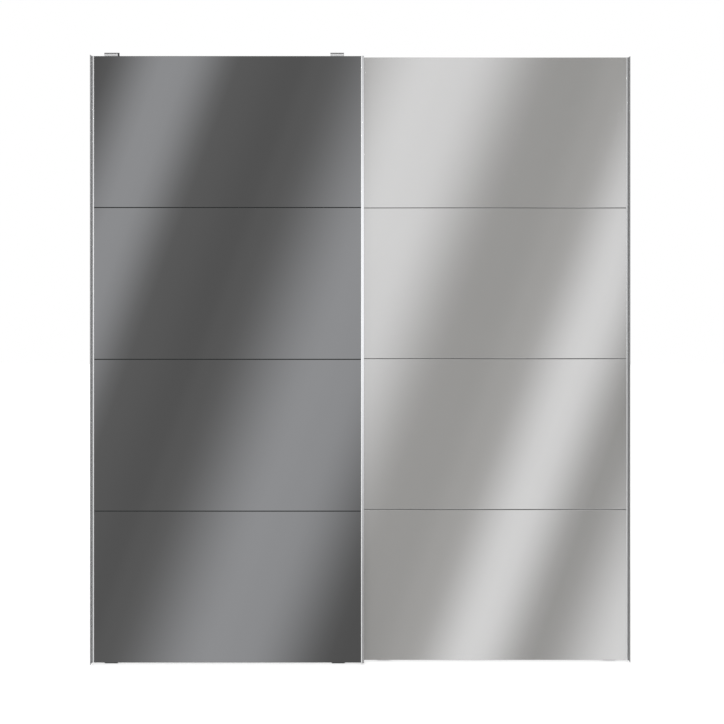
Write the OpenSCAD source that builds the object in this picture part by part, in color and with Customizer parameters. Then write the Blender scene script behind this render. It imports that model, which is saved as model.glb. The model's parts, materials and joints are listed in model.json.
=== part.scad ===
// Pair of sliding wardrobe doors: each has four mirror panes in slim aluminium uprights.
// The front door is the left one. It slides to the right, in front of the rear door.
// Frame: X to the right, Y from the front to the back, Z up. The origin is under the middle of the pair.
// A door is drawn in its own frame: X from its handle edge, Y back from its pane faces, Z up from its bottom.

/* [Doors] */
// Height of each door
door_h = 2250; // [1800:10:2600]
// Width of each door
door_w = 1011; // [800:1:1200]
// Width by which the two doors overlap when closed
overlap = 22; // [22:1:40]
// Distance from the front door's pane faces to the rear door's
door_pitch = 30; // [29:0.5:33]

/* [Panes] */
// Thickness of the mirror glass
mirror_t = 4; // [3:0.5:6]
// Thickness of the backing boards and of the rails
board_t = 8; // [7.5:0.5:9]
// Width of the ground bevel round each pane's face
arris = 0.8; // [0.4:0.1:1.5]
// Gap between two panes, where the joint bar's web stands
pane_gap = 2.4; // [2:0.1:4]
// How far the panes run into the uprights' slots
pane_bite = 4; // [3:0.5:5]
// Room that the slot leaves at the back of the boards and at the panes' edges
slot_play = 0.4; // [0.2:0.1:0.5]

/* [Uprights] */
// Visible width of an upright
stile_w = 11; // [10.5:0.5:14]
// Wall of the extrusions
wall = 1.5; // [1.2:0.1:1.7]
// Thickness of the fin and of the uprights' outer walls
fin_t = 2; // [1.6:0.1:2.4]
// How far the handle fin stands in front of the panes
handle_reach = 27; // [15:1:27]
// Radius of the cove between the fin and the flange
cove_r = 4.5; // [3.5:0.5:4.5]
// Width of the handle upright in front of the panes, from the fin's outer side
handle_lap_w = 9.5; // [9:0.5:10.5]
// How far the slim upright stands in front of the panes
slim_reach = 8; // [6:0.5:9]
// Width of the slim upright's raised lip, along the panes
slim_lip_w = 3.6; // [3:0.2:4.4]
// How far the lip stands in front of the rest of the face
slim_lip_rise = 1; // [0.6:0.1:1.4]
// Radius of the slim upright's front edges
slim_edge_r = 0.6; // [0.4:0.1:1]

/* [Brush strip] */
// Width of the strip's backing tape
pile_tape_w = 6.8; // [6:0.1:7]
// Thickness of the backing tape
pile_tape_t = 1.2; // [0.8:0.1:1.4]
// Width of the pile
pile_w = 4.2; // [3:0.1:4.4]
// Gap between the pile's tip and the rear door's panes
pile_gap = 0.3; // [0.2:0.1:0.6]

/* [Rails and joint bars] */
// Height of the top and bottom rails
rail_h = 38; // [36:1:60]
// Distance of a rail's screw ports from its top and bottom
port_edge = 8; // [7:0.5:9]
// Thickness of a joint bar's web
bar_web_t = 2.2; // [1.6:0.1:2.2]
// Height of a joint bar's flange behind the boards
bar_flange_h = 18; // [12:1:30]
// Thickness of a joint bar's flange
bar_flange_t = 1.2; // [1:0.1:2]
// How far a joint bar's web lies behind the pane faces
bar_recess = 0.6; // [0.2:0.1:1.5]

/* [Hangers] */
// Width of a hanger bracket
hanger_w = 50; // [46:1:60]
// Thickness of the brackets' steel
plate_t = 2.5; // [2:0.5:3]
// Inner radius of the brackets' bends
bend_r = 1; // [0.5:0.5:2]
// Height of the front brackets' arms above the door's top
hanger_rise = 12; // [11:0.5:14]
// Distance from a door's handle edge to the middle of the hanger beside it
hanger_inset_handle = 70; // [60:1:120]
// Distance from a door's slim edge to the middle of the hanger beside it
hanger_inset_slim = 100; // [80:1:140]
// Length of the black cap on a front bracket's arm
cap_len = 30; // [24:1:42]
// How much higher the cap's top is at its back, which leads the door in under the wardrobe's track
cap_rise = 6; // [4:0.5:8]
// Wall of the cap
cap_t = 2.2; // [1.6:0.1:2.4]
// How far the cap's cheeks stay above the door's top
cheek_lift = 2; // [2:0.5:5]

/* [Wheels] */
// Outer diameter of a wheel
wheel_d = 25; // [20:1:26]
// Width of a wheel
wheel_w = 8; // [7:0.5:9]
// Depth of the groove that runs on the track
groove_depth = 1.5; // [1:0.1:2]
// Diameter of an axle
axle_d = 6; // [5:0.5:7]
// Outer diameter of a wheel's bearing
bearing_d = 16; // [14:1:17]
// Depth of the wheel axles below the door's top
axle_drop = 22; // [20:1:24]
// Radial clearance of a bearing on its axle
run_clear = 0.05; // [0.02:0.01:0.1]

/* [Bottom guides] */
// Width of a bottom guide
guide_w = 50; // [40:1:60]
// How far the front door's guides reach below it
front_guide_drop = 6; // [5:0.5:10]
// How far the rear door's guides reach below it
rear_guide_drop = 4; // [3:0.5:5]
// Thickness of a guide's mounting plate
guide_plate_t = 3; // [2.5:0.5:4]
// Thickness of a guide's tongue, from the back of the rail
guide_tongue_t = 9; // [7:0.5:9]
// Distance from a door's handle edge to the middle of the guide beside it
guide_inset_handle = 71; // [60:1:120]
// Distance from a door's slim edge to the middle of the guide beside it
guide_inset_slim = 96; // [80:1:140]

/* [Screws] */
// Diameter of the frame screws
frame_screw_d = 4.5; // [4:0.1:4.8]
// Length of the frame screws under the head
frame_screw_len = 25; // [20:1:40]
// Diameter of the hanger screws
hanger_screw_d = 5; // [4:0.5:5]
// Diameter of the guide screws
guide_screw_d = 4; // [3:0.5:5]
// Distance between the two screws of a hanger or a guide
screw_pitch = 32; // [30:1:34]

/* [Hidden] */

$fn = 64;
// Cuts run this far past the faces that they open
cut = 1;
// Clearance of pieces that are pushed together, and of screws in their holes
fit = 0.05;

// Door section, from the pane faces backwards
rail_back = mirror_t + board_t;
slot_d = rail_back + slot_play;
frame_back = slot_d + wall;
slot_x = stile_w - pane_bite - slot_play;
// The chamber between the fin and the slot takes the heads of the frame screws
chamber_w = slot_x - wall - fin_t;

// Panes
pane_count = 4;
pane_w = door_w - 2 * (stile_w - pane_bite);
pane_h = (door_h - (pane_count - 1) * pane_gap) / pane_count;
pane_step = pane_h + pane_gap;

// Rails
rail_len = door_w - 2 * slot_x;
rail_wall = 1.5;
port_wall = 1.2;
port_d = frame_screw_d + 2 * port_wall;
rail_mid_y = mirror_t + board_t / 2;
port_heights = [port_edge, rail_h - port_edge, door_h - rail_h + port_edge, door_h - port_edge];

// Frame screws
frame_head_h = 2.8;
frame_head_d = 7.6;
access_d = frame_head_d + 0.8;
// The heads sit on the chamber's inner wall, this far from the door's middle
frame_seat = door_w / 2 - slot_x + wall;

// Brush channel on the back of the slim uprights
channel_wall = 1.2;
channel_lip_t = 0.8;
channel_w = pile_tape_w + 0.2;
channel_mouth = pile_w + 0.8;
channel_h = pile_tape_t + 0.2 + channel_lip_t;
pile_back = door_pitch - pile_gap;

// Hangers: the rear wheels run behind the rear door, and the front wheels behind those
plate_back = rail_back + plate_t;
plate_drop = rail_h - 2;
rear_plate_top = 2;
bend_out = bend_r + plate_t;
hanger_screw_z = door_h - rail_h / 2;
slot_travel = 5;
hanger_corner_r = 4;
wheel_stand_off = 5.5;
rear_wheel_y = plate_back + wheel_stand_off;
axle_head_h = 1.7;
axle_head_d = 9;
axle_collar_d = 10;
wheel_side_gap = 0.3;
groove_r = 0.55 * wheel_w;
side_recess = 0.8;
recess_wall = 1.2;
shield_w = 2;
shield_recess = 0.6;
rear_axle_end = rear_wheel_y + wheel_w + wheel_side_gap + axle_head_h;
leg_clear = 2;
leg_y = door_pitch + rear_axle_end + leg_clear;
leg_back = leg_y + plate_t;
leg_wheel_gap = 1.5;
front_wheel_y = leg_back + leg_wheel_gap;
front_axle_end = front_wheel_y + wheel_w + wheel_side_gap + axle_head_h;
arm_z = door_h + hanger_rise;
axle_z = door_h - axle_drop;
leg_end_r = wheel_d / 2 + 1;
leg_shoulder_h = 18;

// Caps
cap_play = 0.2;
arm_w = hanger_w - 2 * (cap_t + cap_play);
cap_nose_y = rail_back + cap_t / 2;
cap_front = rail_back + bend_out + 0.5;
cap_back = cap_front + cap_len;
cap_hook = 1.5;
cap_hook_t = 1.4;
cap_rib_t = 1.8;
cap_rib_pitch = 14;

// Screws
hanger_head_d = 9;
hanger_head_h = 2.8;
hanger_screw_len = plate_t + board_t - rail_wall - 0.8;
guide_head_d = 7;
guide_head_h = 2.2;
guide_screw_len = guide_plate_t + board_t - rail_wall - 0.8;
washer_side = 0.2;

// Guides
guide_screw_z = rail_h / 2;
guide_plate_low = 3;
guide_plate_high = rail_h - 4;
guide_corner_r = 3;
guide_foot_lap = 2;
rib_t = 2.4;
rib_root = 1;
rib_short = 6;

// Overall places
total_w = 2 * door_w - overlap;
face_y = (handle_reach - front_axle_end) / 2;
door_z = front_guide_drop;

aluminium = "Silver";
steel = "LightGray";
black_plastic = [0.08, 0.08, 0.09];
smoked_glass = [0.35, 0.35, 0.36];
clear_glass = [0.75, 0.75, 0.74];
board_brown = [0.55, 0.45, 0.33];

// Places a door's own frame in the pair
module front_place() {
    translate([-total_w / 2, face_y, door_z]) children();
}

module rear_place() {
    translate([total_w / 2, face_y + door_pitch, door_z]) mirror([1, 0, 0]) children();
}

// Extrudes a section drawn in Y and Z along X
module along_x(length) {
    rotate([90, 0, 90]) linear_extrude(length) children();
}

// Extrudes a shape drawn in X and Z backwards along Y
module along_y(depth) {
    translate([0, depth, 0]) rotate([90, 0, 0]) linear_extrude(depth) children();
}

// Rod from the origin backwards along Y
module rod_y(d, depth) {
    rotate([-90, 0, 0]) cylinder(d = d, h = depth);
}

// Rectangle with round corners, standing in the middle of its own place
module round_rect(w, h, r) {
    square([w - 2 * r, h], center = true);
    square([w, h - 2 * r], center = true);
    for (x = [-1, 1], y = [-1, 1]) translate([x * (w / 2 - r), y * (h / 2 - r)]) circle(r);
}

// Upright long hole, from its lowest centre to its highest
module long_hole(d, travel) {
    square([d, 2 * travel], center = true);
    for (side = [-1, 1]) translate([0, side * travel]) circle(d = d);
}

// Screw with its seat at the origin, its shank down and its head up
module pan_screw(d, length, head_d, head_h) {
    difference() {
        union() {
            translate([0, 0, -length]) cylinder(d = d, h = length + head_h / 2);
            cylinder(d = head_d, h = head_h);
        }
        translate([0, 0, head_h * 0.4]) cylinder(d = d * 0.7, h = head_h, $fn = 6);
    }
}

// Slot for the panes and boards, open away from X = 0, and the screw chamber beside it
module slot_section() {
    translate([slot_x, 0]) square([stile_w, slot_d]);
    translate([fin_t, 0]) square([chamber_w, slot_d]);
}

// Section of a handle upright: the fin at X = 0, a cove, and a short flange in front of the slot
module handle_section() {
    difference() {
        union() {
            translate([0, fin_t / 2 - handle_reach]) square([fin_t, handle_reach - fin_t / 2]);
            translate([fin_t / 2, fin_t / 2 - handle_reach]) circle(d = fin_t);
            translate([0, -wall]) square([handle_lap_w, wall + frame_back]);
            square([stile_w, frame_back]);
            translate([fin_t / 2, -wall - cove_r]) square([cove_r + fin_t / 2, cove_r + wall / 2]);
        }
        translate([fin_t + cove_r, -wall - cove_r]) circle(cove_r);
        slot_section();
    }
}

// Rectangle from X = 0 with its two front corners round, reaching back from front_y to back_y
module soft_front(w, front_y, back_y) {
    edge_y = front_y + slim_edge_r;
    translate([0, edge_y]) square([w, back_y - edge_y]);
    translate([slim_edge_r, front_y]) square([w - 2 * slim_edge_r, 2 * slim_edge_r]);
    for (x = [slim_edge_r, w - slim_edge_r]) translate([x, edge_y]) circle(slim_edge_r);
}

// Section of a slim upright: a hollow box in front of the slot, with a raised lip along the panes
module slim_section() {
    face_y = slim_lip_rise - slim_reach;
    difference() {
        union() {
            soft_front(stile_w, face_y, frame_back);
            translate([stile_w - slim_lip_w, 0]) soft_front(slim_lip_w, -slim_reach, 0);
        }
        translate([fin_t, face_y + wall]) square([stile_w - fin_t - wall, -face_y - 2 * wall]);
        slot_section();
    }
}

// Channel for the brush strip's tape, on the back of a slim upright
module channel_section() {
    translate([stile_w / 2, frame_back]) difference() {
        translate([-channel_w / 2 - channel_wall, -wall / 2]) {
            square([channel_w + 2 * channel_wall, channel_h + wall / 2]);
        }
        translate([-channel_w / 2, 0]) square([channel_w, channel_h - channel_lip_t]);
        translate([-channel_mouth / 2, 0]) square([channel_mouth, channel_h + cut]);
    }
}

// Holes for the frame screws, through the fin's side and the slot's bottom
module stile_holes() {
    for (z = port_heights) translate([0, rail_mid_y, z]) rotate([0, 90, 0]) {
        translate([0, 0, -cut]) cylinder(d = access_d, h = cut + fin_t + chamber_w / 2);
        cylinder(d = frame_screw_d + 2 * fit, h = slot_x + cut);
    }
}

module handle_stile() {
    difference() {
        linear_extrude(door_h) handle_section();
        stile_holes();
    }
}

// Drawn from X = 0 like the handle upright, and turned to the door's other edge
module slim_stile() {
    translate([door_w, 0, 0]) mirror([1, 0, 0]) difference() {
        linear_extrude(door_h) {
            slim_section();
            channel_section();
        }
        stile_holes();
    }
}

// Hollow rail with two screw ports, each tied to the nearer edge by a web, standing on Z = 0
module rail_section() {
    difference() {
        translate([mirror_t, 0]) square([board_t, rail_h]);
        difference() {
            translate([mirror_t + rail_wall, rail_wall]) {
                square([board_t - 2 * rail_wall, rail_h - 2 * rail_wall]);
            }
            for (z = [port_edge, rail_h - port_edge]) translate([rail_mid_y, z]) circle(d = port_d);
            for (z = [0, rail_h - port_edge]) {
                translate([rail_mid_y - rail_wall / 2, z]) square([rail_wall, port_edge]);
            }
        }
        for (z = [port_edge, rail_h - port_edge]) {
            translate([rail_mid_y, z]) circle(d = frame_screw_d + 2 * fit);
        }
    }
}

// Screw places along a door, for fittings in the middle of these places
module at_fittings(inset_handle, inset_slim) {
    for (x = [inset_handle, door_w - inset_slim]) translate([x, 0, 0]) children();
}

module at_screw_pair() {
    for (side = [-1, 1]) translate([side * screw_pitch / 2, 0, 0]) children();
}

module rail(low, inset_handle, inset_slim, screw_d) {
    difference() {
        translate([slot_x, 0, low]) along_x(rail_len) rail_section();
        at_fittings(inset_handle, inset_slim) at_screw_pair() {
            translate([0, rail_back - rail_wall - cut, low + rail_h / 2]) {
                rod_y(screw_d + 2 * fit, rail_wall + 2 * cut);
            }
        }
    }
}

module top_rail() {
    rail(door_h - rail_h, hanger_inset_handle, hanger_inset_slim, hanger_screw_d);
}

module bottom_rail() {
    rail(0, guide_inset_handle, guide_inset_slim, guide_screw_d);
}

// Pane by its place from the top, 0 to 3
module mirror_pane(place) {
    translate([stile_w - pane_bite, 0, (pane_count - 1 - place) * pane_step]) intersection() {
        along_x(pane_w) polygon([
            [mirror_t, 0], [arris, 0], [0, arris],
            [0, pane_h - arris], [arris, pane_h], [mirror_t, pane_h]
        ]);
        linear_extrude(pane_h) polygon([
            [0, mirror_t], [0, arris], [arris, 0],
            [pane_w - arris, 0], [pane_w, arris], [pane_w, mirror_t]
        ]);
    }
}

// Board behind a pane. The rails take the place of its top or bottom edge
module board(place) {
    low = place == pane_count - 1 ? rail_h : (pane_count - 1 - place) * pane_step;
    high = place == 0 ? door_h - rail_h : (pane_count - 1 - place) * pane_step + pane_h;
    translate([stile_w - pane_bite, mirror_t, low]) cube([pane_w, board_t, high - low]);
}

// T-bar with a round nose between two panes, by its place from the top, 0 to 2
module joint_bar(place) {
    mid_z = (pane_count - 1 - place) * pane_step - pane_gap / 2;
    nose_y = bar_recess + bar_web_t / 2;
    flange_x = stile_w + slot_play;
    translate([stile_w - pane_bite, 0, mid_z]) along_x(pane_w) {
        translate([nose_y, 0]) circle(d = bar_web_t);
        translate([nose_y, -bar_web_t / 2]) square([rail_back + bar_flange_t / 2 - nose_y, bar_web_t]);
    }
    translate([flange_x, 0, mid_z]) along_x(door_w - 2 * flange_x) {
        translate([rail_back, -bar_flange_h / 2]) square([bar_flange_t, bar_flange_h]);
    }
}

module frame_screws() {
    for (z = port_heights, side = [-1, 1]) {
        translate([door_w / 2 + side * frame_seat, rail_mid_y, z]) rotate([0, side * 90, 0]) {
            pan_screw(frame_screw_d, frame_screw_len, frame_head_d, frame_head_h);
        }
    }
}

// Brush strip: its tape slides in the channel and its pile reaches the rear door's panes
module pile_strip() {
    translate([door_w - stile_w / 2, frame_back, 0]) {
        translate([-pile_tape_w / 2, 0, 0]) cube([pile_tape_w, pile_tape_t, door_h]);
        translate([-pile_w / 2, 0, 0]) cube([pile_w, pile_back - frame_back, door_h]);
    }
}

// Quarter bend of the bracket's steel, from an upright plate to a flat arm, along X
module bend(width) {
    translate([-width / 2, 0, 0]) along_x(width) difference() {
        intersection() {
            circle(bend_out);
            translate([-bend_out, 0]) square(bend_out);
        }
        circle(bend_r);
    }
}

// Plate on the rail's back, with the two long holes that set the door's height
module hanger_plate(top) {
    height = plate_drop + top;
    translate([0, rail_back, door_h]) difference() {
        translate([0, 0, height / 2 - plate_drop]) along_y(plate_t) {
            round_rect(hanger_w, height, hanger_corner_r);
        }
        translate([0, -cut, hanger_screw_z - door_h]) at_screw_pair() along_y(plate_t + 2 * cut) {
            long_hole(hanger_screw_d + 2 * washer_side, slot_travel);
        }
    }
}

// Leg behind the rear wheels, narrowing to a round end about the axle
module hanger_leg() {
    shoulder = arm_z - bend_out - leg_shoulder_h;
    translate([0, leg_y, 0]) difference() {
        along_y(plate_t) {
            translate([-arm_w / 2, shoulder]) square([arm_w, leg_shoulder_h]);
            translate([-leg_end_r, axle_z]) square([2 * leg_end_r, shoulder - axle_z]);
            translate([0, axle_z]) circle(leg_end_r);
        }
        translate([0, -cut, axle_z]) rod_y(axle_d + 2 * fit, plate_t + 2 * cut);
    }
}

module front_hanger() {
    upper_h = hanger_rise - bend_out;
    hanger_plate(0);
    translate([-hanger_w / 2, rail_back, door_h - hanger_corner_r]) {
        cube([hanger_w, plate_t, hanger_corner_r + upper_h]);
    }
    translate([0, rail_back + bend_out, arm_z - bend_out]) bend(hanger_w);
    translate([-arm_w / 2, rail_back + bend_out, arm_z - plate_t]) {
        cube([arm_w, leg_back - rail_back - 2 * bend_out, plate_t]);
    }
    translate([0, leg_back - bend_out, arm_z - bend_out]) mirror([0, 1, 0]) bend(arm_w);
    hanger_leg();
}

module rear_hanger() {
    difference() {
        hanger_plate(-rear_plate_top);
        translate([0, rail_back - cut, axle_z]) rod_y(axle_d + 2 * fit, plate_t + 2 * cut);
    }
}

// Black cap that clips over the arm of a front bracket. Its top plate slopes up to the back, on ribs
module hanger_cap() {
    outer_w = arm_w + 2 * (cap_play + cap_t);
    inner_w = arm_w + 2 * cap_play;
    translate([-outer_w / 2, 0, 0]) along_x(outer_w) {
        translate([cap_nose_y, arm_z + cap_t / 2]) circle(d = cap_t);
        polygon([
            [cap_nose_y, arm_z], [cap_front, arm_z], [cap_back, arm_z + cap_rise],
            [cap_back, arm_z + cap_rise + cap_t], [cap_front, arm_z + cap_t], [cap_nose_y, arm_z + cap_t]
        ]);
    }
    for (side = [-1, 1]) translate([side * (inner_w + cap_t) / 2 - cap_t / 2, 0, 0]) along_x(cap_t) {
        polygon([
            [cap_front, door_h + cheek_lift], [cap_back, door_h + cheek_lift],
            [cap_back, arm_z + cap_rise + cap_t / 2], [cap_front, arm_z + cap_t / 2]
        ]);
    }
    for (side = [-1, 1]) {
        hook_edge = side * (inner_w / 2 - cap_hook);
        translate([min(hook_edge, hook_edge + side * (cap_hook + cap_t / 2)), cap_front, 0]) {
            translate([0, 0, arm_z - plate_t - cap_play - cap_hook_t]) {
                cube([cap_hook + cap_t / 2, cap_len, cap_hook_t]);
            }
        }
    }
    for (side = [-1, 0, 1]) translate([side * cap_rib_pitch - cap_rib_t / 2, 0, 0]) along_x(cap_rib_t) {
        polygon([
            [cap_front, arm_z], [cap_back, arm_z],
            [cap_back, arm_z + cap_rise + cap_t / 2], [cap_front, arm_z + cap_t / 2]
        ]);
    }
}

// Shouldered axle, riveted flush in its plate at plate_y
module axle(plate_y, wheel_y, end_y) {
    translate([0, plate_y, axle_z]) {
        rod_y(axle_d, end_y - plate_y - axle_head_h / 2);
        translate([0, plate_t, 0]) rod_y(axle_collar_d, wheel_y - plate_y - plate_t - wheel_side_gap);
        translate([0, end_y - plate_y - axle_head_h, 0]) rod_y(axle_head_d, axle_head_h);
    }
}

// Wheel with a round groove in its tread and thinned sides
module wheel(wheel_y) {
    hub_r = bearing_d / 2 + recess_wall;
    rim_r = wheel_d / 2 - groove_depth - recess_wall;
    translate([0, wheel_y, axle_z]) rotate([-90, 0, 0]) rotate_extrude() difference() {
        translate([bearing_d / 2 + fit, 0]) square([wheel_d / 2 - bearing_d / 2 - fit, wheel_w]);
        translate([wheel_d / 2 - groove_depth + groove_r, wheel_w / 2]) circle(groove_r);
        for (z = [-cut, wheel_w - side_recess]) translate([hub_r, z]) {
            square([rim_r - hub_r, side_recess + cut]);
        }
    }
}

// Bearing with a running groove between its two rings
module bearing(wheel_y) {
    bore_r = axle_d / 2 + run_clear;
    mid_r = (bore_r + bearing_d / 2) / 2;
    translate([0, wheel_y, axle_z]) rotate([-90, 0, 0]) rotate_extrude() difference() {
        translate([bore_r, 0]) square([bearing_d / 2 - bore_r, wheel_w]);
        for (z = [-cut, wheel_w - shield_recess]) translate([mid_r - shield_w / 2, z]) {
            square([shield_w, shield_recess + cut]);
        }
    }
}

module hanger_screws() {
    at_fittings(hanger_inset_handle, hanger_inset_slim) at_screw_pair() {
        translate([0, plate_back, hanger_screw_z]) rotate([-90, 0, 0]) {
            pan_screw(hanger_screw_d, hanger_screw_len, hanger_head_d, hanger_head_h);
        }
    }
}

// Bottom guide: a plate on the rail's back, a foot under it and a tongue below the door
module bottom_guide(drop) {
    plate_h = guide_plate_high - guide_plate_low;
    foot_h = guide_plate_low + guide_foot_lap + drop;
    rib_top = guide_plate_high - rib_short;
    difference() {
        union() {
            translate([0, rail_back, guide_plate_low + plate_h / 2]) along_y(guide_plate_t) {
                round_rect(guide_w, plate_h, guide_corner_r);
            }
            translate([0, rail_back, foot_h / 2 - drop]) along_y(guide_tongue_t) {
                round_rect(guide_w, foot_h, guide_corner_r);
            }
            for (x = [-guide_w / 2, -rib_t / 2, guide_w / 2 - rib_t]) translate([x, 0, 0]) along_x(rib_t) {
                polygon([
                    [rail_back + rib_root, guide_plate_low], [rail_back + guide_tongue_t, guide_plate_low],
                    [rail_back + guide_plate_t, rib_top], [rail_back + rib_root, rib_top]
                ]);
            }
        }
        translate([0, rail_back - cut, guide_screw_z]) at_screw_pair() {
            rod_y(guide_screw_d + 2 * fit, guide_plate_t + 2 * cut);
        }
    }
}

module guide_screws() {
    at_fittings(guide_inset_handle, guide_inset_slim) at_screw_pair() {
        translate([0, rail_back + guide_plate_t, guide_screw_z]) rotate([-90, 0, 0]) {
            pan_screw(guide_screw_d, guide_screw_len, guide_head_d, guide_head_h);
        }
    }
}

// Puts a fitting at the handle edge's hanger or at the slim edge's
module hanger_place(outer) {
    translate([outer ? hanger_inset_handle : door_w - hanger_inset_slim, 0, 0]) children();
}

module guide_place(outer) {
    translate([outer ? guide_inset_handle : door_w - guide_inset_slim, 0, 0]) children();
}

module front_handle_stile() { color(aluminium) front_place() handle_stile(); }
module front_slim_stile() { color(aluminium) front_place() slim_stile(); }
module front_top_rail() { color(aluminium) front_place() top_rail(); }
module front_bottom_rail() { color(aluminium) front_place() bottom_rail(); }
module front_mirror(place) { color(smoked_glass) front_place() mirror_pane(place); }
module front_board(place) { color(board_brown) front_place() board(place); }
module front_joint_bar(place) { color(aluminium) front_place() joint_bar(place); }
module front_frame_screws() { color(steel) front_place() frame_screws(); }
module front_pile_strip() { color("DimGray") front_place() pile_strip(); }
module front_hanger_at(outer) { color(steel) front_place() hanger_place(outer) front_hanger(); }
module front_cap_at(outer) { color(black_plastic) front_place() hanger_place(outer) hanger_cap(); }
module front_hanger_screws() { color(steel) front_place() hanger_screws(); }
module front_axle_at(outer) {
    color(steel) front_place() hanger_place(outer) axle(leg_y, front_wheel_y, front_axle_end);
}
module front_wheel_at(outer) { color(black_plastic) front_place() hanger_place(outer) wheel(front_wheel_y); }
module front_bearing_at(outer) { color(steel) front_place() hanger_place(outer) bearing(front_wheel_y); }
module front_guide_at(outer) {
    color(black_plastic) front_place() guide_place(outer) bottom_guide(front_guide_drop);
}
module front_guide_screws() { color(steel) front_place() guide_screws(); }

module rear_handle_stile() { color(aluminium) rear_place() handle_stile(); }
module rear_slim_stile() { color(aluminium) rear_place() slim_stile(); }
module rear_top_rail() { color(aluminium) rear_place() top_rail(); }
module rear_bottom_rail() { color(aluminium) rear_place() bottom_rail(); }
module rear_mirror(place) { color(clear_glass) rear_place() mirror_pane(place); }
module rear_board(place) { color(board_brown) rear_place() board(place); }
module rear_joint_bar(place) { color(aluminium) rear_place() joint_bar(place); }
module rear_frame_screws() { color(steel) rear_place() frame_screws(); }
module rear_hanger_at(outer) { color(steel) rear_place() hanger_place(outer) rear_hanger(); }
module rear_hanger_screws() { color(steel) rear_place() hanger_screws(); }
module rear_axle_at(outer) {
    color(steel) rear_place() hanger_place(outer) axle(rail_back, rear_wheel_y, rear_axle_end);
}
module rear_wheel_at(outer) { color(black_plastic) rear_place() hanger_place(outer) wheel(rear_wheel_y); }
module rear_bearing_at(outer) { color(steel) rear_place() hanger_place(outer) bearing(rear_wheel_y); }
module rear_guide_at(outer) {
    color(black_plastic) rear_place() guide_place(outer) bottom_guide(rear_guide_drop);
}
module rear_guide_screws() { color(steel) rear_place() guide_screws(); }

front_handle_stile();
front_slim_stile();
front_top_rail();
front_bottom_rail();
front_mirror(0);  // front_mirror_top
front_mirror(1);  // front_mirror_upper
front_mirror(2);  // front_mirror_lower
front_mirror(3);  // front_mirror_bottom
front_board(0);  // front_board_top
front_board(1);  // front_board_upper
front_board(2);  // front_board_lower
front_board(3);  // front_board_bottom
front_joint_bar(0);  // front_joint_bar_top
front_joint_bar(1);  // front_joint_bar_middle
front_joint_bar(2);  // front_joint_bar_bottom
front_frame_screws();
front_pile_strip();
front_hanger_at(true);  // front_hanger_outer
front_hanger_at(false);  // front_hanger_inner
front_cap_at(true);  // front_hanger_cap_outer
front_cap_at(false);  // front_hanger_cap_inner
front_hanger_screws();
front_axle_at(true);  // front_axle_outer
front_axle_at(false);  // front_axle_inner
front_wheel_at(true);  // front_wheel_outer
front_wheel_at(false);  // front_wheel_inner
front_bearing_at(true);  // front_bearing_outer
front_bearing_at(false);  // front_bearing_inner
front_guide_at(true);  // front_guide_outer
front_guide_at(false);  // front_guide_inner
front_guide_screws();
rear_handle_stile();
rear_slim_stile();
rear_top_rail();
rear_bottom_rail();
rear_mirror(0);  // rear_mirror_top
rear_mirror(1);  // rear_mirror_upper
rear_mirror(2);  // rear_mirror_lower
rear_mirror(3);  // rear_mirror_bottom
rear_board(0);  // rear_board_top
rear_board(1);  // rear_board_upper
rear_board(2);  // rear_board_lower
rear_board(3);  // rear_board_bottom
rear_joint_bar(0);  // rear_joint_bar_top
rear_joint_bar(1);  // rear_joint_bar_middle
rear_joint_bar(2);  // rear_joint_bar_bottom
rear_frame_screws();
rear_hanger_at(true);  // rear_hanger_outer
rear_hanger_at(false);  // rear_hanger_inner
rear_hanger_screws();
rear_axle_at(true);  // rear_axle_outer
rear_axle_at(false);  // rear_axle_inner
rear_wheel_at(true);  // rear_wheel_outer
rear_wheel_at(false);  // rear_wheel_inner
rear_bearing_at(true);  // rear_bearing_outer
rear_bearing_at(false);  // rear_bearing_inner
rear_guide_at(true);  // rear_guide_outer
rear_guide_at(false);  // rear_guide_inner
rear_guide_screws();
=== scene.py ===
"""Looks for a pair of sliding wardrobe doors with smoked and clear mirror panes in slim aluminium uprights.

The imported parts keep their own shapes. This script gives each of them a procedural finish, adds the pile
of the brush strip, and sets up the studio: the photograph's camera, the floor, the lights and what the
mirrors see. Lengths are in metres, and the doors face the room along -Y.
"""

import json
import math
import random

import bmesh
import bpy
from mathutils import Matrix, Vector


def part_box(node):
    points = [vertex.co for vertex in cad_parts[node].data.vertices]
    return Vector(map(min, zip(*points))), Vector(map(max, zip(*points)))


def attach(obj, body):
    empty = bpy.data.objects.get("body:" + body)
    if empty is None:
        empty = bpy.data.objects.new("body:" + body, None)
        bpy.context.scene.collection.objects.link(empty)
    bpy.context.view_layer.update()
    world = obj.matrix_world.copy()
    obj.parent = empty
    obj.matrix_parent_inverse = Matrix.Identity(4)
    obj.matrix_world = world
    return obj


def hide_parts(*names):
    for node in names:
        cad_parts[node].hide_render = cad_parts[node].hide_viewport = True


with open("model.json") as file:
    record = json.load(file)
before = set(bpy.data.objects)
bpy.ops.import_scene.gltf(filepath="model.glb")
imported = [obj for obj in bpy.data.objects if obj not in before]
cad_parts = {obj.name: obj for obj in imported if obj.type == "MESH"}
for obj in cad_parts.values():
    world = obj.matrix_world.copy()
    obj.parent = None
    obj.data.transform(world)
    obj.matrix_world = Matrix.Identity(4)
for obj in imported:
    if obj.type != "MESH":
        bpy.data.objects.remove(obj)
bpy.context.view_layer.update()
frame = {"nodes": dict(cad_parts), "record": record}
nodes = frame["nodes"]

# The photograph's view, measured on the front door's pane faces
FRAME_PX = 724
FACE_PX_PER_M = 269.6
HORIZON_PX_Y = 267.95
VIEW_DISTANCE = 4.5
EYE_ABOVE_DOOR_FOOT = 1.464
EYE_X = 0.0035
SENSOR_MM = 36.0

pane_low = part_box("front_mirror_bottom")[0]
FACE_Y = pane_low.y
DOOR_FOOT = pane_low.z


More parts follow.
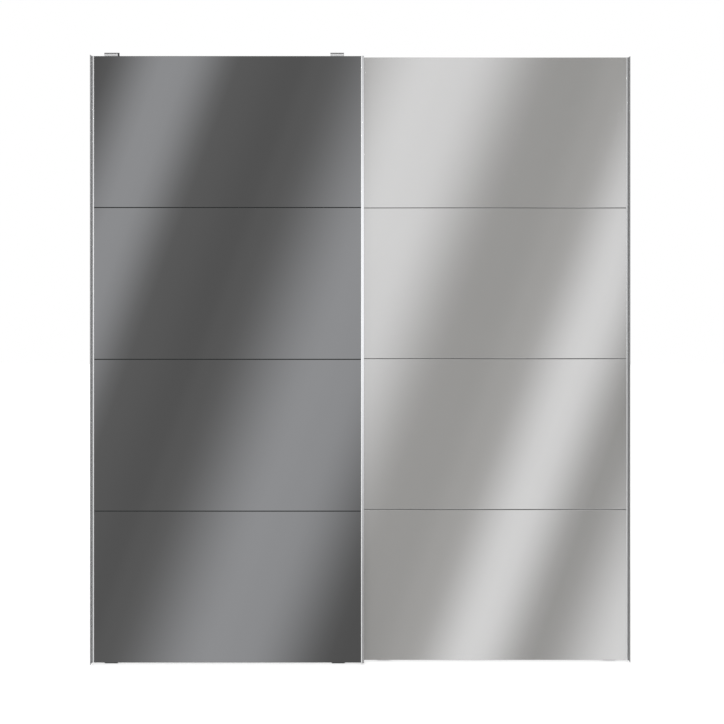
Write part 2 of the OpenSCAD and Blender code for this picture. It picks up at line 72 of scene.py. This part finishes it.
def add_camera():
    data = bpy.data.cameras.new("camera")
    data.sensor_width = SENSOR_MM
    data.sensor_fit = "HORIZONTAL"
    data.lens = SENSOR_MM * FACE_PX_PER_M * VIEW_DISTANCE / FRAME_PX
    data.shift_y = (HORIZON_PX_Y - FRAME_PX / 2) / FRAME_PX
    camera = bpy.data.objects.new("camera", data)
    camera.location = (EYE_X, FACE_Y - VIEW_DISTANCE, DOOR_FOOT + EYE_ABOVE_DOOR_FOOT)
    camera.rotation_euler = (math.radians(90), 0, 0)
    bpy.context.scene.collection.objects.link(camera)
    bpy.context.scene.camera = camera


# Node helpers

# How straight a face has to look to the front, as a cosine: flat faces alone, or bevels as well
STRAIGHT = 0.995
TILTED = 0.3


class Nodes:
    """Short ways to add nodes to a material's or the world's tree."""

    def __init__(self, tree):
        self.tree = tree

    def add(self, kind, **settings):
        node = self.tree.nodes.new(kind)
        for name, value in settings.items():
            setattr(node, name, value)
        return node

    def link(self, source, target):
        self.tree.links.new(source, target)

    def feed(self, socket, value):
        """Sets an input to a number, or links it where the value is another node's output."""
        if isinstance(value, bpy.types.NodeSocket):
            self.link(value, socket)
        else:
            socket.default_value = value

    def math(self, operation, a, b=0.0):
        node = self.add("ShaderNodeMath", operation=operation)
        self.feed(node.inputs[0], a)
        self.feed(node.inputs[1], b)
        return node.outputs[0]

    def split(self, vector):
        """The vector's X, Y and Z."""
        node = self.add("ShaderNodeSeparateXYZ")
        self.link(vector, node.inputs["Vector"])
        return node.outputs

    def point(self, stretch=(1, 1, 1)):
        """The point on the piece, scaled by stretch along each axis."""
        coordinates = self.add("ShaderNodeTexCoord")
        mapping = self.add("ShaderNodeMapping")
        mapping.inputs["Scale"].default_value = stretch
        self.link(coordinates.outputs["Object"], mapping.inputs["Vector"])
        return mapping.outputs["Vector"]

    def noise(self, scale, stretch=(1, 1, 1), detail=3.0, rough=0.5):
        node = self.add("ShaderNodeTexNoise")
        self.link(self.point(stretch), node.inputs["Vector"])
        node.inputs["Scale"].default_value = scale
        node.inputs["Detail"].default_value = detail
        node.inputs["Roughness"].default_value = rough
        return node.outputs["Fac"]

    def spread(self, factor, low=0.0, high=1.0, start=0.3, end=0.7):
        """Maps a factor between start and end, where most of a noise lies, to low and high."""
        node = self.add("ShaderNodeMapRange")
        self.link(factor, node.inputs["Value"])
        node.inputs["From Min"].default_value = start
        node.inputs["From Max"].default_value = end
        node.inputs["To Min"].default_value = low
        node.inputs["To Max"].default_value = high
        return node.outputs["Result"]

    def pick(self, mask, off, on):
        """One value where the mask is 0 and the other where it is 1."""
        return self.spread(mask, off, on, start=0.0, end=1.0)

    def mix(self, factor, a, b):
        node = self.add("ShaderNodeMix", data_type="RGBA")
        self.feed(node.inputs["Factor"], factor)
        self.feed(node.inputs["A"], a)
        self.feed(node.inputs["B"], b)
        return node.outputs["Result"]

    def blend(self, noise, a, b):
        """Two colours that run into each other along a noise."""
        return self.mix(self.spread(noise), a, b)

    def ramp(self, factor, stops):
        node = self.add("ShaderNodeValToRGB")
        ramp = node.color_ramp
        ramp.interpolation = "EASE"
        while len(ramp.elements) < len(stops):
            ramp.elements.new(1.0)
        for element, (position, colour) in zip(ramp.elements, stops):
            element.position = position
            element.color = colour
        self.link(factor, node.inputs["Fac"])
        return node.outputs["Color"]

    def bump(self, height, strength, distance=0.0002):
        node = self.add("ShaderNodeBump")
        self.link(height, node.inputs["Height"])
        node.inputs["Strength"].default_value = strength
        node.inputs["Distance"].default_value = distance
        return node.outputs["Normal"]

    def face_normal(self):
        return self.add("ShaderNodeNewGeometry").outputs["True Normal"]

    def faces_front(self, least=STRAIGHT):
        """1 on the faces that look to the front at least this straight, and 0 elsewhere."""
        return self.math("LESS_THAN", self.split(self.face_normal())["Y"], -least)


class Finish(Nodes):
    """A new material: its shader, and the nodes that feed it."""

    def __init__(self, name, metallic=0.0, specular=0.5):
        self.material = bpy.data.materials.new(name)
        self.material.use_nodes = True
        super().__init__(self.material.node_tree)
        self.shader = next(node for node in self.tree.nodes if node.type == "BSDF_PRINCIPLED")
        self.set("Metallic", metallic)
        self.set("Specular IOR Level", specular)

    def set(self, name, value):
        self.feed(self.shader.inputs[name], value)

    def paint(self, colour, roughness):
        self.set("Base Color", colour)
        self.set("Roughness", roughness)


def grey(level, warmth=0.0):
    """A grey with a little red added and blue taken for warmth."""
    return (level * (1 + warmth), level, level * (1 - warmth), 1.0)


# Aluminium

# Faces that don't look straight to the front are satin: how metallic they are, and how much rougher
SATIN_METALLIC = 0.92
SATIN_ROUGHER = 0.13
# The flat face behind a slim upright's lip is polished: how metallic it is, and how much smoother
POLISHED_METALLIC = 0.975
POLISHED_SMOOTHER = 0.06
# A Y behind every face of the doors
BEHIND_ALL = 1.0
# How metallic an upright's front face is, and that face's grey, a painted highlight where it is not
# metallic
SLIM_LIP_METALLIC = 0.64
HANDLE_LIP_METALLIC = 0.73
LIP_HIGHLIGHT_GREY = 0.95
# How much brighter that face is between its die lines
LINE_CONTRAST = 0.04
# The rear door's handle upright gets a darker front face grey than the front door's: painted shade
SHADED_LIP_GREY = 0.75
# Half the step between a slim upright's raised lip and the rest of its face
HALF_LIP_STEP = 0.0005


def upright_aluminium(name, lip_metallic, lip_highlight_grey=LIP_HIGHLIGHT_GREY, polished_from=BEHIND_ALL):
    """Anodised extrusion: painted highlight on faces to the room, painted shade on satin fins and coves,
    fine die lines.

    Flat front faces that lie behind Y = polished_from are polished.
    """
    finish = Finish(name, SATIN_METALLIC)
    lines = finish.noise(scale=900, stretch=(1, 1, 0.004), detail=2.0)
    clouds = finish.noise(scale=3.0, detail=2.0)
    flat = finish.faces_front()
    behind_lip = finish.math("GREATER_THAN", finish.split(finish.point())["Y"], polished_from)
    polished = finish.math("MULTIPLY", flat, behind_lip)
    # Painted shade: the darker grey of faces not straight to the front; painted highlight: the bright grey
    # of faces to the room
    satin = finish.blend(lines, grey(0.4), grey(0.49))
    bright = finish.blend(lines, grey(lip_highlight_grey), grey(lip_highlight_grey + LINE_CONTRAST))
    metallic = finish.pick(flat, off=SATIN_METALLIC, on=lip_metallic)
    metallic_gain = finish.pick(polished, off=0.0, on=POLISHED_METALLIC - lip_metallic)
    finish.set("Metallic", finish.math("ADD", metallic, metallic_gain))
    rougher = finish.pick(flat, off=SATIN_ROUGHER, on=0.0)
    smoother = finish.pick(polished, off=0.0, on=POLISHED_SMOOTHER)
    roughness = finish.math("ADD", finish.spread(clouds, 0.09, 0.13), rougher)
    finish.paint(finish.mix(flat, satin, bright), finish.math("SUBTRACT", roughness, smoother))
    finish.set("Normal", finish.bump(lines, strength=0.08))
    return finish.material


def mill_aluminium():
    """Bare extrusion of the rails: streaks along X and a duller grey."""
    finish = Finish("mill_aluminium", metallic=0.9)
    streaks = finish.noise(scale=500, stretch=(0.006, 1, 1))
    stains = finish.noise(scale=9.0, detail=4.0)
    colour = finish.blend(streaks, grey(0.5), grey(0.62))
    finish.paint(colour, roughness=finish.spread(stains, 0.32, 0.5))
    finish.set("Normal", finish.bump(streaks, strength=0.12))
    return finish.material


def dark_bar(name, nose_grey):
    """Dark anodised joint bar, whose nose between two panes has the given grey; a paler one is painted
    light.
    """
    finish = Finish(name, metallic=0.6)
    lines = finish.noise(scale=700, stretch=(0.006, 1, 1), detail=2.0)
    body = finish.blend(lines, grey(0.012), grey(0.022))
    nose = finish.faces_front(TILTED)
    colour = finish.mix(nose, body, grey(nose_grey))
    finish.paint(colour, roughness=finish.spread(lines, 0.35, 0.45))
    return finish.material


# Mirror panes

# The levels are set against the surroundings at the end of this script
SMOKED_TINT = (0.27, 0.27, 0.27, 1)
SMOKED_METALLIC = 1.0
# The smoked edge is the tinted glass edge's own dark colour, made darker still as painted shade along the
# pane outlines
SMOKED_EDGE = (0.026, 0.029, 0.029, 1)
CLEAR_TINT = (0.563, 0.556, 0.542, 1)
CLEAR_METALLIC = 0.838
CLEAR_EDGE = (0.15, 0.168, 0.158, 1)
# How much brighter a pane reflects where its haze is thin
THIN_HAZE_GAIN = 1.02
# How much rougher its edges are than its face
EDGE_ROUGHER = 0.25
# The share of a bevel's tilt that its reflection keeps
BEVEL_BEND = 0.06


def nearly_flat_normal(finish):
    """The face's direction with bevels turned most of the way to the front, like a fine polished edge."""
    flattened = finish.add("ShaderNodeVectorMath", operation="MULTIPLY")
    finish.link(finish.face_normal(), flattened.inputs[0])
    flattened.inputs[1].default_value = (BEVEL_BEND, 1, BEVEL_BEND)
    unit = finish.add("ShaderNodeVectorMath", operation="NORMALIZE")
    finish.link(flattened.outputs["Vector"], unit.inputs[0])
    return unit.outputs["Vector"]


def mirror_glass(name, tint, metallic, edge_tint, least):
    """Mirror pane: it reflects where it faces the front at least this straight, and its edges are dull."""
    finish = Finish(name, metallic)
    haze = finish.noise(scale=2.2)
    film = finish.noise(scale=40.0, detail=2.0)
    reflects = finish.faces_front(least)
    thin_haze = tuple(channel * THIN_HAZE_GAIN for channel in tint[:3]) + (1,)
    colour = finish.mix(reflects, edge_tint, finish.blend(haze, tint, thin_haze))
    rougher = finish.pick(reflects, off=EDGE_ROUGHER, on=0.0)
    finish.paint(colour, finish.math("ADD", finish.spread(film, 0.015, 0.03), rougher))
    finish.set("Metallic", finish.pick(reflects, off=0.0, on=metallic))
    finish.set("Normal", nearly_flat_normal(finish))
    return finish.material


# Fittings, boards and pile

# How much brighter and rougher rubbed plastic is
RUBBED_GAIN = 1.5
RUBBED_ROUGHER = 0.12


def zinc_plate():
    """Zinc plated pressed steel: soft spangle and a slight yellow cast."""
    finish = Finish("zinc_plate", metallic=0.6)
    spangle = finish.add("ShaderNodeTexVoronoi")
    finish.link(finish.point(), spangle.inputs["Vector"])
    spangle.inputs["Scale"].default_value = 260
    fine = finish.noise(scale=900)
    tone = finish.spread(spangle.outputs["Color"], start=0.1, end=0.9)
    colour = finish.mix(tone, grey(0.54, warmth=0.01), grey(0.62, warmth=-0.01))
    finish.paint(colour, roughness=finish.spread(fine, 0.26, 0.4))
    finish.set("Normal", finish.bump(fine, strength=0.1))
    return finish.material


def turned_steel():
    """Bright steel of screws, axles and bearings, with fine tool marks."""
    finish = Finish("turned_steel", metallic=1.0)
    turning = finish.noise(scale=1500)
    colour = finish.blend(turning, grey(0.5), grey(0.66))
    finish.paint(colour, roughness=finish.spread(turning, 0.18, 0.34))
    return finish.material


def moulded_plastic(name, level, roughness, specular):
    """Moulded plastic with a fine grain and slightly rubbed high spots."""
    finish = Finish(name, specular=specular)
    grain = finish.noise(scale=2600, detail=2.0)
    wear = finish.noise(scale=60, detail=4.0)
    colour = finish.blend(wear, grey(level), grey(level * RUBBED_GAIN))
    finish.paint(colour, finish.spread(wear, roughness, roughness + RUBBED_ROUGHER))
    finish.set("Normal", finish.bump(grain, strength=0.25))
    return finish.material


def fibre_board():
    """Fibre board: a warm brown with short fibres, paler and darker clouds, and dark specks."""
    finish = Finish("fibre_board", specular=0.3)
    fibres = finish.noise(scale=420, stretch=(1, 1, 0.35), detail=5.0, rough=0.65)
    clouds = finish.noise(scale=5.0)
    specks = finish.noise(scale=1300, detail=1.0)
    colour = finish.blend(fibres, (0.33, 0.235, 0.15, 1), (0.43, 0.32, 0.21, 1))
    colour = finish.mix(finish.spread(clouds, high=0.25), colour, (0.37, 0.25, 0.15, 1))
    speck_mask = finish.spread(specks, high=0.45, start=0.66, end=0.74)
    colour = finish.mix(speck_mask, colour, (0.15, 0.1, 0.06, 1))
    finish.paint(colour, roughness=finish.spread(fibres, 0.62, 0.8))
    finish.set("Normal", finish.bump(fibres, strength=0.2, distance=0.0003))
    return finish.material


def pile_fibre():
    """Grey pile with a soft sheen and streaks that run along its fibres."""
    finish = Finish("pile_fibre", specular=0.3)
    fibres = finish.noise(scale=1800, stretch=(1, 0.05, 1), detail=2.0)
    colour = finish.blend(fibres, grey(0.06), grey(0.16))
    finish.paint(colour, roughness=finish.spread(fibres, 0.7, 0.9))
    finish.set("Sheen Weight", 0.3)
    return finish.material


# Dressing the nodes

DARK_NOSE_GREY = 0.012
# Between the clear panes the joint bars' noses are painted paler, as painted light
LIT_NOSE_GREY = 0.05

# One finish for each material slot of the record
FINISHES = {
    "stile_aluminium": upright_aluminium("handle_aluminium", HANDLE_LIP_METALLIC),
    "rail_aluminium": mill_aluminium(),
    "smoked_mirror": mirror_glass("smoked_mirror", SMOKED_TINT, SMOKED_METALLIC, SMOKED_EDGE, STRAIGHT),
    "clear_mirror": mirror_glass("clear_mirror", CLEAR_TINT, CLEAR_METALLIC, CLEAR_EDGE, TILTED),
    "backing_board": fibre_board(),
    "dark_bar": dark_bar("dark_bar", DARK_NOSE_GREY),
    "zinc_steel": zinc_plate(),
    "screw_steel": turned_steel(),
    "black_plastic": moulded_plastic("black_plastic", level=0.01, roughness=0.55, specular=0.15),
    "wheel_plastic": moulded_plastic("wheel_plastic", level=0.045, roughness=0.3, specular=0.5),
    "brush_pile": pile_fibre(),
}


def dress_nodes():
    """Gives each node the finish of its slot, and some nodes a variant of it."""
    for part in frame["record"]["subparts"]:
        mesh = nodes[part["node"]].data
        mesh.materials.clear()
        mesh.materials.append(FINISHES[part["material_slot"]])
    for name in ("front_slim_stile", "rear_slim_stile"):
        lip_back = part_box(name)[0].y + HALF_LIP_STEP
        lipped = upright_aluminium(name + "_aluminium", SLIM_LIP_METALLIC, polished_from=lip_back)
        nodes[name].data.materials[0] = lipped
    # A copy of the handle finish for the rear door, its front face darkened as painted shade
    shaded = upright_aluminium("rear_handle_shaded_aluminium", HANDLE_LIP_METALLIC, SHADED_LIP_GREY)
    nodes["rear_handle_stile"].data.materials[0] = shaded
    # The rear door's bars: the same dark bar, with noses painted paler as painted light
    lit_nose = dark_bar("lit_nose_bar", LIT_NOSE_GREY)
    for joint in ("top", "middle", "bottom"):
        nodes["rear_joint_bar_" + joint].data.materials[0] = lit_nose


# Brush strip

# The woven tape's thickness, and half the width that the pile may take up
TAPE_T = 0.0012
PILE_HALF_W = 0.0021
BRISTLE_ROWS = 3
BRISTLE_PITCH = 0.003
# A share of the pitch: how far the rows are set off against each other, and how far a tuft strays
BRISTLE_STAGGER = 0.25
BRISTLE_R = 0.00075
BRISTLE_SIDES = 3
# Radians that a tuft's corners are turned round it
BRISTLE_TURN = 0.5
BRISTLE_LEAN_X = 0.0006
BRISTLE_LEAN_Z = 0.0009
SHORTEST_BRISTLE = 0.93
BRISTLE_SEED = 7
# The rings of a tuft: each one's place along the tuft, and its width, as shares of the whole
BRISTLE_RINGS = ((0.0, 1.0), (0.55, 0.85), (1.0, 0.35))


def add_brush():
    """The pile of the brush strip: a woven tape in the upright's channel, with rows of bristle tufts."""
    low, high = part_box("front_pile_strip")
    mid_x = (low.x + high.x) / 2
    x_range = (mid_x - PILE_HALF_W + BRISTLE_R, mid_x + PILE_HALF_W - BRISTLE_R)
    z_range = (low.z + BRISTLE_R, high.z - BRISTLE_R)
    shape = bmesh.new()
    add_tape(shape, low, high)
    chance = random.Random(BRISTLE_SEED)
    for row in range(BRISTLE_ROWS):
        x = mid_x + (row - (BRISTLE_ROWS - 1) / 2) * (PILE_HALF_W - BRISTLE_R)
        for i in range(int((high.z - low.z) / BRISTLE_PITCH)):
            stray = BRISTLE_STAGGER * chance.random()
            z = low.z + (i + BRISTLE_STAGGER * (1 + row % 2) + stray) * BRISTLE_PITCH
            add_tuft(shape, chance, Vector((x, low.y + TAPE_T, z)), high.y, x_range, z_range)
    bmesh.ops.recalc_face_normals(shape, faces=shape.faces)
    mesh = bpy.data.meshes.new("front_brush")
    shape.to_mesh(mesh)
    shape.free()
    mesh.materials.append(FINISHES["brush_pile"])
    brush = bpy.data.objects.new("front_brush", mesh)
    bpy.context.scene.collection.objects.link(brush)
    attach(brush, "front_door")
    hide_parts("front_pile_strip")


def add_tape(shape, low, high):
    """The tape that the bristles are woven into, along the strip's back."""
    y_range = (low.y, low.y + TAPE_T)
    corners = [(x, y, z) for z in (low.z, high.z) for y in y_range for x in (low.x, high.x)]
    points = [shape.verts.new(corner) for corner in corners]
    for loop in ((0, 1, 3, 2), (4, 6, 7, 5), (0, 4, 5, 1), (2, 3, 7, 6), (0, 2, 6, 4), (1, 5, 7, 3)):
        shape.faces.new([points[i] for i in loop])


def add_tuft(shape, chance, root, tip_y, x_range, z_range):
    """One tuft: a thin bent prism that narrows to its tip, inside the pile's own space."""
    lean_x = chance.uniform(-BRISTLE_LEAN_X, BRISTLE_LEAN_X)
    lean_z = chance.uniform(-BRISTLE_LEAN_Z, BRISTLE_LEAN_Z)
    length = (tip_y - root.y) * chance.uniform(SHORTEST_BRISTLE, 1.0)
    rings = []
    for share, width in BRISTLE_RINGS:
        x = kept_in(x_range, root.x + lean_x * share ** 2)
        z = kept_in(z_range, root.z + lean_z * share ** 2)
        centre = Vector((x, root.y + length * share, z))
        ring = []
        for k in range(BRISTLE_SIDES):
            turn = 2 * math.pi * k / BRISTLE_SIDES + BRISTLE_TURN
            spoke = Vector((math.cos(turn), 0, math.sin(turn))) * BRISTLE_R * width
            ring.append(shape.verts.new(centre + spoke))
        rings.append(ring)
    for lower, upper in zip(rings, rings[1:]):
        for k in range(BRISTLE_SIDES):
            after = (k + 1) % BRISTLE_SIDES
            shape.faces.new((lower[k], lower[after], upper[after], upper[k]))
    shape.faces.new(rings[-1])


def kept_in(limits, value):
    return min(max(value, limits[0]), limits[1])


# Floor and lights

FLOOR_HALF = 14.0
FLOOR_DROP = 0.0005
FLOOR_GREYS = (0.5, 0.52)
# A light table's soft glow, which keeps the floor under the doors pale
FLOOR_GLOW = 0.5


def add_floor():
    finish = Finish("floor_paint", specular=0.2)
    speckle = finish.noise(scale=30)
    finish.paint(finish.blend(speckle, grey(FLOOR_GREYS[0]), grey(FLOOR_GREYS[1])), roughness=0.9)
    finish.set("Emission Color", (1, 1, 1, 1))
    finish.set("Emission Strength", FLOOR_GLOW)
    mesh = bpy.data.meshes.new("floor")
    signs = ((-1, -1), (1, -1), (1, 1), (-1, 1))
    corners = [(x * FLOOR_HALF, y * FLOOR_HALF, -FLOOR_DROP) for x, y in signs]
    mesh.from_pydata(corners, [], [(0, 1, 2, 3)])
    mesh.materials.append(finish.material)
    floor = bpy.data.objects.new("floor", mesh)
    bpy.context.scene.collection.objects.link(floor)
    floor.visible_glossy = False


def add_soft_sun(name, elevation, turn, strength, spread):
    """Soft light from the front, kept out of the mirrors. Angles are in degrees."""
    data = bpy.data.lights.new(name, "SUN")
    data.energy = strength
    data.angle = math.radians(spread)
    sun = bpy.data.objects.new(name, data)
    sun.rotation_euler = (math.radians(90 - elevation), 0, math.radians(turn))
    sun.visible_glossy = False
    bpy.context.scene.collection.objects.link(sun)


# What the mirrors see: soft leaning bands of light in a grey studio. Each stop is an angle in degrees to
# the right of the line of sight, at the camera's height, and the studio's brightness there.
BAND_LEAN = 0.3675
BAND_REACH = 74.5
BANDS = [
    (-73, 0.37), (-65.5, 0.76), (-57, 0.32), (-48.5, 0.8), (-41, 0.33), (-34, 0.73), (-28.5, 0.32),
    (-23.3, 0.8), (-19.6, 0.41), (-15.7, 0.285), (-12.5, 0.975), (-12, 0.96), (-9.1, 0.35),
    (-6.6, 0.303), (-5.5, 0.344), (-0.3, 0.99), (1.1, 0.96), (5.75, 0.282), (7, 0.277), (8.7, 0.354),
    (11.6, 0.983), (11.8, 0.976), (14.6, 0.26), (18.4, 1.0), (22.3, 0.32), (27, 0.8), (33, 0.33),
    (41, 0.76), (50, 0.32), (61.5, 0.76), (72.5, 0.37),
]
# Brightness of the white surroundings as they light the doors and the floor
AMBIENT = 0.75
# Bands at least this bright are a little cool
COOL_LEVEL = 0.6
COOL_TINT = (0.988, 1.0, 1.032)


def band_colour(level):
    tint = COOL_TINT if level >= COOL_LEVEL else (1, 1, 1)
    return tuple(level * channel for channel in tint) + (1,)


def add_surroundings():
    """What the rays meet: white for the camera, pale grey for soft light, and the bands for reflections."""
    world = bpy.data.worlds.new("studio")
    bpy.context.scene.world = world
    world.use_nodes = True
    world.node_tree.nodes.clear()
    n = Nodes(world.node_tree)
    direction = n.split(n.add("ShaderNodeTexCoord").outputs["Generated"])
    across = n.math("SUBTRACT", direction["X"], n.math("MULTIPLY", direction["Z"], BAND_LEAN))
    turn = n.math("ARCTAN2", across, n.math("ABSOLUTE", direction["Y"]))
    factor = n.math("ADD", n.math("DIVIDE", turn, 2 * math.radians(BAND_REACH)), 0.5)
    stops = [(0.5 + angle / (2 * BAND_REACH), band_colour(level)) for angle, level in BANDS]
    ray = n.add("ShaderNodeLightPath").outputs
    walls = n.mix(ray["Is Camera Ray"], grey(AMBIENT), grey(1.0))
    seen = n.mix(ray["Is Glossy Ray"], walls, n.ramp(factor, stops))
    background = n.add("ShaderNodeBackground")
    n.link(seen, background.inputs["Color"])
    n.link(background.outputs["Background"], n.add("ShaderNodeOutputWorld").inputs["Surface"])


add_camera()
dress_nodes()
add_brush()
add_floor()
add_soft_sun("key_light", elevation=55, turn=-8, strength=1.6, spread=35)
add_soft_sun("low_front_light", elevation=14, turn=6, strength=2.4, spread=20)
add_surroundings()
bpy.context.scene.view_settings.view_transform = "Standard"
